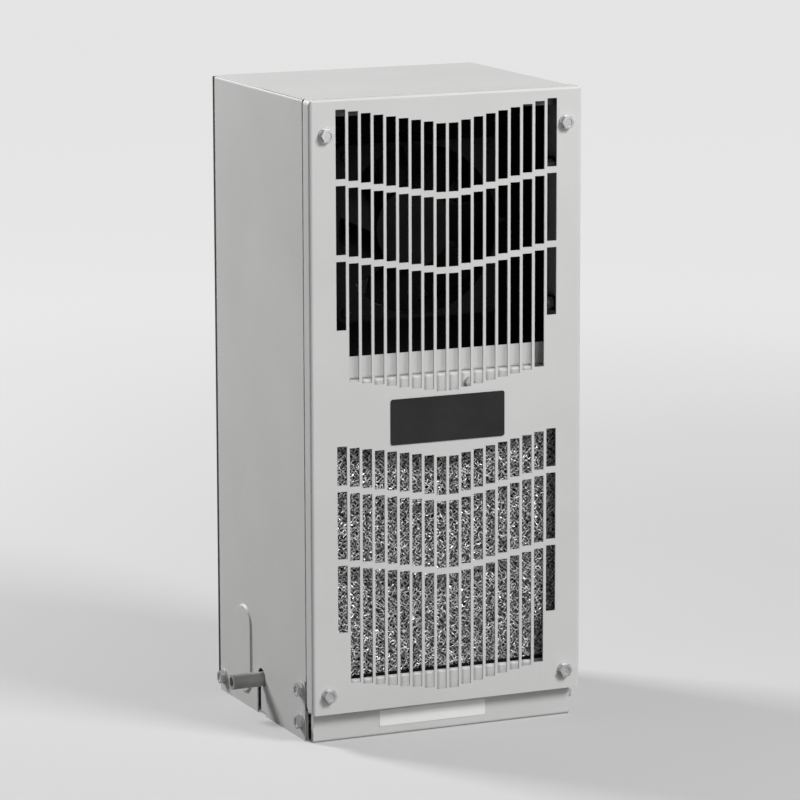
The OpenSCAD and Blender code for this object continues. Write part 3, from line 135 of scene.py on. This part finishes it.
class Shader:
    """A material's node tree, with short calls for the nodes used here.

    Scales are in waves or cells a metre.
    """

    def __init__(self, name, **inputs):
        self.material = bpy.data.materials.new(name)
        self.material.use_nodes = True
        self.tree = self.material.node_tree
        self.surface = self.tree.nodes["Principled BSDF"]
        self.set(**inputs)
        places = self.node("TexCoord").outputs
        self.place, self.normal = places["Object"], places["Normal"]

    def node(self, kind, settings=None, **inputs):
        return add_node(self.tree, kind, settings, **inputs)

    def set(self, **inputs):
        set_inputs(self.tree, self.surface, inputs)

    def math(self, operation, *values):
        node = self.node("Math", {"operation": operation})
        for socket, value in zip(node.inputs, values):
            set_socket(self.tree, socket, value)
        return node.outputs["Value"]

    def axes(self, vector):
        return self.node("SeparateXYZ", Vector=vector).outputs

    def stretched(self, factors):
        return self.node("Mapping", Vector=self.place, Scale=factors).outputs["Vector"]

    def noise(self, scale, detail=2, place=None):
        node = self.node("TexNoise", Vector=place or self.place, Scale=scale, Detail=detail)
        return node.outputs["Fac"]

    def cells(self, scale):
        return self.node("TexVoronoi", Vector=self.place, Scale=scale).outputs["Distance"]

    def ranged(self, factor, low, high, start=NOISE_LOW, end=NOISE_HIGH, **settings):
        """Values from low to high as the factor goes from start to end."""
        node = self.node("MapRange", settings, Value=factor, From_Min=start, From_Max=end,
                         To_Min=low, To_Max=high)
        return node.outputs["Result"]

    def between(self, factor, low, high, start=NOISE_LOW, end=NOISE_HIGH):
        """Colours from low to high as the factor goes from start to end."""
        node = self.node("ValToRGB", Fac=factor)
        for stop, position, color in zip(node.color_ramp.elements, (start, end), (low, high)):
            stop.position = position
            stop.color = linear(color)
        return node.outputs["Color"]

    def mixed(self, factor, first, second):
        """The first colour where the factor is 0, the second where it is 1."""
        node = self.node("Mix", {"data_type": "RGBA"}, Factor=factor, A=first, B=second)
        return node.outputs["Result"]

    def mottle(self, color, scale, darkest, lightest, detail=4):
        """Noise over a colour, from its darkest shade to its lightest."""
        return self.between(self.noise(scale, detail),
                            shade(color, darkest), shade(color, lightest))

    def uneven(self, rough, smoother, rougher, scale, place=None):
        """Roughness that noise takes from smoother to rougher than its usual value."""
        return self.ranged(self.noise(scale, detail=3, place=place),
                           rough - smoother, rough + rougher)

    def bump(self, height, distance, strength, **under):
        """Relief on the surface, over the relief in Normal if that is given."""
        node = self.node("Bump", Height=height, Distance=distance, Strength=strength, **under)
        self.set(Normal=node.outputs["Normal"])
        return node.outputs["Normal"]


# World and lamps: places and sizes in metres, power in watts

WORLD_LIGHT = 0.12
WORLD_MIRRORED = 0.45
WORLD_SHOWN = 0.9
LAMPS = {
    "key": {"at": (1.06, -1.84, 1.72), "aim": (0, 0, 0.22), "size": 0.8, "power": 53},
    "fill": {"at": (0.45, -2.8, 0.8), "aim": (0, 0, 0.22), "size": 2.0, "power": 16},
    "top": {"at": (0, 0.1, 2.6), "aim": (0, 0, 0.2), "size": 1.2, "power": 1},
    "side": {"at": (-1.15, 1.65, 1.4), "aim": (0, 0, 0.2), "size": 0.6, "power": 53},
}


def make_world():
    """Pale for the camera, weaker in reflections, and weaker still as light on the surfaces."""
    world = bpy.data.worlds.new("studio")
    world.use_nodes = True
    bpy.context.scene.world = world
    tree = world.node_tree
    path = add_node(tree, "LightPath").outputs
    unseen = add_node(tree, "MapRange", Value=path["Is Glossy Ray"],
                      To_Min=WORLD_LIGHT, To_Max=WORLD_MIRRORED)
    strength = add_node(tree, "MapRange", Value=path["Is Camera Ray"],
                        To_Min=unseen.outputs["Result"], To_Max=WORLD_SHOWN)
    set_inputs(tree, tree.nodes["Background"],
               {"Color": WHITE, "Strength": strength.outputs["Result"]})


def area_light(name, at, aim, size, power):
    data = bpy.data.lights.new(name, "AREA")
    data.shape = "SQUARE"
    data.size = size
    data.energy = power
    lamp = add_object(name, data)
    lamp.location = at
    lamp.rotation_mode = "QUATERNION"
    lamp.rotation_quaternion = (Vector(aim) - Vector(at)).to_track_quat("-Z", "Y")


# Floor: its colour and glow for the camera change from near the object to far from it

FLOOR_SIZE = 40
FADE_START, FADE_END = 0.3, 1.8
NEAR_GREY, FAR_GREY = 0.66, 0.2
NEAR_GLOW, FAR_GLOW = 0.22, 0.74
UNSEEN_GREY = 0.5


def paper(name):
    """Backdrop paper with a faint mottle.

    What the camera sees far from the object glows instead of taking the lamps' light.
    """
    look = Shader(name, Roughness=0.9, Emission_Color=WHITE)
    seen = look.node("LightPath").outputs["Is Camera Ray"]
    away = look.node("VectorMath", {"operation": "LENGTH"}, Vector=look.place).outputs["Value"]
    far = look.ranged(away, low=0, high=1, start=FADE_START, end=FADE_END,
                      interpolation_type="SMOOTHSTEP")
    glow = look.math("ADD", look.math("MULTIPLY", far, FAR_GLOW - NEAR_GLOW), NEAR_GLOW)
    mottle = look.math("MULTIPLY", look.ranged(look.noise(scale=3), low=0.98, high=1),
                       look.math("SUBTRACT", 1, far))
    shown = look.between(mottle, low=grey(FAR_GREY), high=grey(NEAR_GREY), start=0, end=1)
    look.set(Emission_Strength=look.math("MULTIPLY", seen, glow),
             Base_Color=look.mixed(seen, linear(grey(UNSEEN_GREY)), shown))
    look.bump(look.noise(scale=400), distance=0.05 * MM, strength=0.2)
    return look.material


def make_floor():
    bpy.ops.mesh.primitive_plane_add(size=FLOOR_SIZE)
    floor = bpy.context.object
    floor.name = "floor"
    floor.data.materials.append(paper("floor_paper"))


# Materials

COAT_GREY = (0.815, 0.815, 0.812)
# Painted shade inside the casing: a darker grey on its inner walls and front gussets
PAINTED_SHADE_GREY = (0.40, 0.40, 0.40)
_, SHELL_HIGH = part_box("shell")
SHADE_INSET = 0.5 * MM
GUSSET_HEIGHT = 15 * MM
WALL_SHADE_SHARE = 0.55
WALL_NORMAL_Y = 0.5
FILTER_LOW, FILTER_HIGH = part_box("filter_mesh")
# Painted shade in the filter pad: the foil is unshaded in front of the first share of the pad's
# depth and fully shaded behind the second
UNSHADED_DEPTH_SHARE, SHADED_DEPTH_SHARE = 0.12, 0.55


def with_painted_shade(look, coat):
    """The coat with painted shade inside the casing: a share of it on the walls, all on the front
    gussets.
    """
    x, y, z = look.axes(look.place)
    inside = look.math("MULTIPLY", look.math("COMPARE", x, 0, SHELL_HIGH.x - SHADE_INSET),
                       look.math("LESS_THAN", z, SHELL_HIGH.z - SHADE_INSET))
    wall = look.math("COMPARE", look.axes(look.normal)["Y"], 0, WALL_NORMAL_Y)
    gusset = look.math("MULTIPLY", look.math("GREATER_THAN", z, SHELL_HIGH.z - GUSSET_HEIGHT),
                       look.math("LESS_THAN", y, 0))
    share = look.math("MAXIMUM", look.math("MULTIPLY", wall, WALL_SHADE_SHARE), gusset)
    painted_shade = look.mottle(PAINTED_SHADE_GREY, scale=30, darkest=0.9, lightest=1.1)
    return look.mixed(look.math("MULTIPLY", inside, share), coat, painted_shade)


def powder_coat(name, color, rough, gloss, has_painted_shade=False):
    """Textured powder coat: fine orange peel over a faint mottle, with painted shade inside the
    casing if asked for.
    """
    look = Shader(name, Specular_IOR_Level=gloss)
    coat = look.mottle(color, scale=14, darkest=0.985, lightest=1.012)
    look.set(Base_Color=with_painted_shade(look, coat) if has_painted_shade else coat,
             Roughness=look.uneven(rough, smoother=0.05, rougher=0.08, scale=260))
    peel = look.bump(look.noise(scale=700), distance=0.03 * MM, strength=0.6)
    look.bump(look.noise(scale=2600, detail=1), distance=0.008 * MM, strength=0.5, Normal=peel)
    return look.material


def zinc_plate(name, color, rough):
    """Zinc plate with a cloudy face."""
    look = Shader(name, Metallic=0.55)
    look.set(Base_Color=look.mottle(color, scale=150, darkest=0.93, lightest=1.05, detail=3),
             Roughness=look.uneven(rough, smoother=0.05, rougher=0.1, scale=400))
    look.bump(look.noise(scale=700), distance=0.006 * MM, strength=0.25)
    return look.material


def bare_metal(name, low, high, rough, scale, stretch):
    """Bare aluminium or copper with drawn streaks and a patchy bloom."""
    look = Shader(name, Metallic=1)
    streaks = look.stretched(stretch)
    look.set(Base_Color=look.between(look.noise(scale, detail=4), low, high),
             Roughness=look.uneven(rough, smoother=0.08, rougher=0.14,
                                   scale=2 * scale, place=streaks))
    look.bump(look.noise(3 * scale, place=streaks), distance=0.01 * MM, strength=0.4)
    return look.material


def moulded(name, color, rough, grain=1600, depth=0.015 * MM, gloss=0.5):
    """Moulded plastic or rubber with a fine spark-eroded grain."""
    look = Shader(name, Specular_IOR_Level=gloss)
    look.set(Base_Color=look.mottle(color, scale=40, darkest=0.85, lightest=1.15),
             Roughness=look.uneven(rough, smoother=0.06, rougher=0.1, scale=grain / 3))
    look.bump(look.noise(grain), distance=depth, strength=0.5)
    return look.material


def foam(name, color):
    """Closed-cell foam: small pits in a matt skin, with painted shade darkening the pits."""
    look = Shader(name, Roughness=0.95)
    pits = look.cells(scale=1100)
    # The pits are painted darker as painted shade
    look.set(Base_Color=look.between(pits, low=shade(color, 0.6), high=shade(color, 1.2),
                                     start=0.1, end=0.6))
    look.bump(pits, distance=0.12 * MM, strength=0.7)
    return look.material


def foil(name, bright, dark):
    """Crumpled aluminium foil: random tone, with painted shade that darkens it towards the back of
    the pad.
    """
    look = Shader(name, Metallic=0.35)
    deep = FILTER_HIGH.y - FILTER_LOW.y
    near = look.ranged(look.axes(look.place)["Y"], low=0, high=1,
                       start=FILTER_LOW.y + SHADED_DEPTH_SHARE * deep,
                       end=FILTER_LOW.y + UNSHADED_DEPTH_SHARE * deep)
    shade_and_tone = look.math("MULTIPLY", near, look.ranged(look.noise(scale=420), low=0.6, high=1))
    look.set(Base_Color=look.between(shade_and_tone, low=dark, high=bright, start=0.05, end=0.95),
             Roughness=look.ranged(look.noise(scale=600, detail=3), low=0.2, high=0.45))
    return look.material


def film(name, color):
    """Blank label film with a soft sheen."""
    look = Shader(name, Specular_IOR_Level=0.4)
    look.set(Base_Color=look.mottle(color, scale=60, darkest=0.985, lightest=1),
             Roughness=look.ranged(look.noise(scale=500), low=0.3, high=0.42))
    look.bump(look.noise(scale=90), distance=0.03 * MM, strength=0.3)
    return look.material


SLOT_LOOKS = {
    "powder_coat": powder_coat("powder_coat_grey", COAT_GREY, rough=0.45, gloss=0.35),
    "black_plate": moulded("plate_black", (0.135, 0.135, 0.14), rough=0.4,
                           grain=900, depth=0.004 * MM, gloss=0.3),
    "label_film": film("label_film_pale", (0.95, 0.95, 0.945)),
    "zinc_steel": zinc_plate("zinc_plate", grey(0.80), rough=0.3),
    # The foil's dark grey is painted shade for the depth of the pad
    "filter_aluminium": foil("filter_foil", bright=grey(0.97), dark=grey(0.06)),
    "fin_aluminium": bare_metal("fin_aluminium", (0.72, 0.73, 0.74), (0.84, 0.85, 0.86),
                                rough=0.34, scale=90, stretch=(1, 1, 0.05)),
    "copper": bare_metal("copper", (0.66, 0.38, 0.26), (0.82, 0.52, 0.38),
                         rough=0.3, scale=120, stretch=(1, 1, 0.2)),
    "black_steel": powder_coat("powder_coat_black", (0.06, 0.06, 0.063), rough=0.65, gloss=0.08),
    "black_plastic": moulded("plastic_black", (0.055, 0.055, 0.058), rough=0.6, gloss=0.08),
    "foam": foam("foam_black", (0.14, 0.14, 0.145)),
    "rubber": moulded("rubber_black", grey(0.09), rough=0.6, grain=1200, depth=0.02 * MM),
    "drain_plastic": moulded("drain_plastic_grey", (0.64, 0.64, 0.635), rough=0.38,
                             grain=700, depth=0.02 * MM),
    "ivory_plastic": moulded("plastic_ivory", (0.84, 0.82, 0.74), rough=0.4),
}
NODE_LOOKS = {
    # The shell carries painted shade inside the casing
    "shell": powder_coat("powder_coat_shell", COAT_GREY, rough=0.45, gloss=0.35, has_painted_shade=True),
    # The partition's darker zinc is painted shade inside the unit
    "partition": zinc_plate("zinc_plate_shaded", grey(0.42), rough=0.5),
}


def dress_nodes():
    for part in frame["record"]["subparts"]:
        data = nodes[part["node"]].data
        data.materials.clear()
        data.materials.append(NODE_LOOKS.get(part["node"]) or SLOT_LOOKS[part["material_slot"]])


# Folded and punched edges are slightly rounded by the coating; radii in mm, angle in degrees

EDGE_RADII = {"front_cover": 0.22, "shell": 0.2, "base_pan": 0.2, "nameplate": 0.25,
              "divider_shelf": 0.2, "shelf_baffle": 0.2, "rear_panel": 0.2, "drain_tube": 0.3,
              "cover_screws": 0.45, "side_screws": 0.45, "thermostat_dial": 0.3}
EDGE_SEGMENTS = 2
EDGE_ANGLE = 50


def soften_edges():
    for name, radius in EDGE_RADII.items():
        bevel = nodes[name].modifiers.new("edge", "BEVEL")
        bevel.width = radius * MM
        bevel.segments = EDGE_SEGMENTS
        bevel.limit_method = "ANGLE"
        bevel.angle_limit = math.radians(EDGE_ANGLE)


# Pieces that the scene adds


def skin(mesh, rings):
    """Closes a row of rings, with as many points each, into one solid."""
    for a, b in zip(rings, rings[1:]):
        for i in range(len(a)):
            j = (i + 1) % len(a)
            mesh.faces.new((a[i], a[j], b[j], b[i]))
    mesh.faces.new(rings[0][::-1])
    mesh.faces.new(rings[-1])


def finish_piece(mesh, name, body, slot, replaced):
    data = bpy.data.meshes.new(name)
    mesh.to_mesh(data)
    mesh.free()
    data.materials.append(SLOT_LOOKS[slot])
    piece = add_object(name, data)
    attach(piece, body)
    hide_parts(*replaced)


# Filter media: layers of slit and stretched foil, from front to back; turns in radians

LAYERS = (
    {"depth_share": 0.16, "cell": 2.9 * MM, "wide": 0.76 * MM, "curl": 0.5 * MM},
    {"depth_share": 0.42, "cell": 2.7 * MM, "wide": 0.78 * MM, "curl": 0},
    {"depth_share": 0.68, "cell": 3.5 * MM, "wide": 1.3 * MM, "curl": 0},
)
CELL_HEIGHT_SHARE = 0.9
FOIL_THICK = 0.16 * MM
JITTER = 0.85 * MM
WAVE = 0.45 * MM
NARROWEST_SHARE, WIDEST_SHARE = 0.6, 1.4
MOST_TURN = 1.5
MOST_TWIST = 1.2

random.seed(7)


def strand(mesh, points, wide, turn, twist):
    """A flat closed ribbon through the points, turned about its length from turn to turn + twist."""
    along = (points[-1] - points[0]).normalized()
    side = along.cross(Vector((0, 1, 0)))
    face = along.cross(side)
    rings = []
    for i, p in enumerate(points):
        angle = turn + twist * i / (len(points) - 1)
        u = (side * math.cos(angle) + face * math.sin(angle)) * wide / 2
        v = (face * math.cos(angle) - side * math.sin(angle)) * FOIL_THICK / 2
        rings.append([mesh.verts.new(p + q) for q in (u, v, -u, -v)])
    skin(mesh, rings)


def shake():
    return [random.uniform(-1, 1) for _ in range(3)]


def foil_layer(mesh, low, high, depth_share, cell, wide, curl):
    """A lattice of diamonds across x and z, crumpled by jitter, wave and curl."""
    depth = low.y + depth_share * (high.y - low.y)
    columns = int((high.x - low.x) / cell)
    rows = int((high.z - low.z) / (CELL_HEIGHT_SHARE * cell))
    step = Vector(((high.x - low.x) / columns / 2, 0, (high.z - low.z) / rows / 2))
    places = {}
    for i in range(2 * columns + 1):
        for j in range(i % 2, 2 * rows + 1, 2):
            across, up, out = shake()
            x = low.x + i * step.x + across * JITTER * (0 < i < 2 * columns)
            z = low.z + j * step.z + up * JITTER * (0 < j < 2 * rows)
            places[i, j] = Vector((x, depth + out * WAVE, z))
    for (i, j), a in places.items():
        for b in (places.get((i - 1, j + 1)), places.get((i + 1, j + 1))):
            if b:
                middle = (a + b) / 2 + Vector(shake()) * curl
                strand(mesh, (a, middle, b) if curl else (a, b),
                       wide * random.uniform(NARROWEST_SHARE, WIDEST_SHARE),
                       random.uniform(-MOST_TURN, MOST_TURN),
                       random.uniform(-MOST_TWIST, MOST_TWIST))


def make_filter_media():
    mesh = bmesh.new()
    for layer in LAYERS:
        foil_layer(mesh, FILTER_LOW, FILTER_HIGH, **layer)
    finish_piece(mesh, "filter_media", "filter", "filter_aluminium", ("filter_mesh",))


# Coil fins: thin rippled sheets, closer than the CAD model's

FIN_THICK = 0.18 * MM
FIN_RIPPLE = 0.35 * MM
STEPS_PER_FOLD = 4


def fin(mesh, x, low, high, folds):
    """One closed sheet across y and z whose section ripples along y."""
    rings = []
    steps = STEPS_PER_FOLD * folds
    for i in range(steps + 1):
        y = low.y + (high.y - low.y) * i / steps
        middle = x + FIN_RIPPLE * math.sin(2 * math.pi * i / STEPS_PER_FOLD)
        left, right = middle - FIN_THICK / 2, middle + FIN_THICK / 2
        corners = (left, low.z), (right, low.z), (right, high.z), (left, high.z)
        rings.append([mesh.verts.new((face, y, z)) for face, z in corners])
    skin(mesh, rings)


def make_fin_pack(node, name, pitch, folds):
    low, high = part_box(node)
    count = int((high.x - low.x) / pitch)
    mesh = bmesh.new()
    for i in range(count + 1):
        fin(mesh, low.x + (high.x - low.x) * i / count, low, high, folds)
    finish_piece(mesh, name, "housing", "fin_aluminium", (node,))


make_camera()
make_world()
make_floor()
for lamp_name, settings in LAMPS.items():
    area_light(lamp_name, **settings)
dress_nodes()
soften_edges()
make_filter_media()
make_fin_pack("condenser_fins", "condenser_fin_pack", pitch=2.1 * MM, folds=5)
make_fin_pack("evaporator_fins", "evaporator_fin_pack", pitch=2.3 * MM, folds=7)

scene = bpy.context.scene
scene.view_settings.view_transform = "Standard"
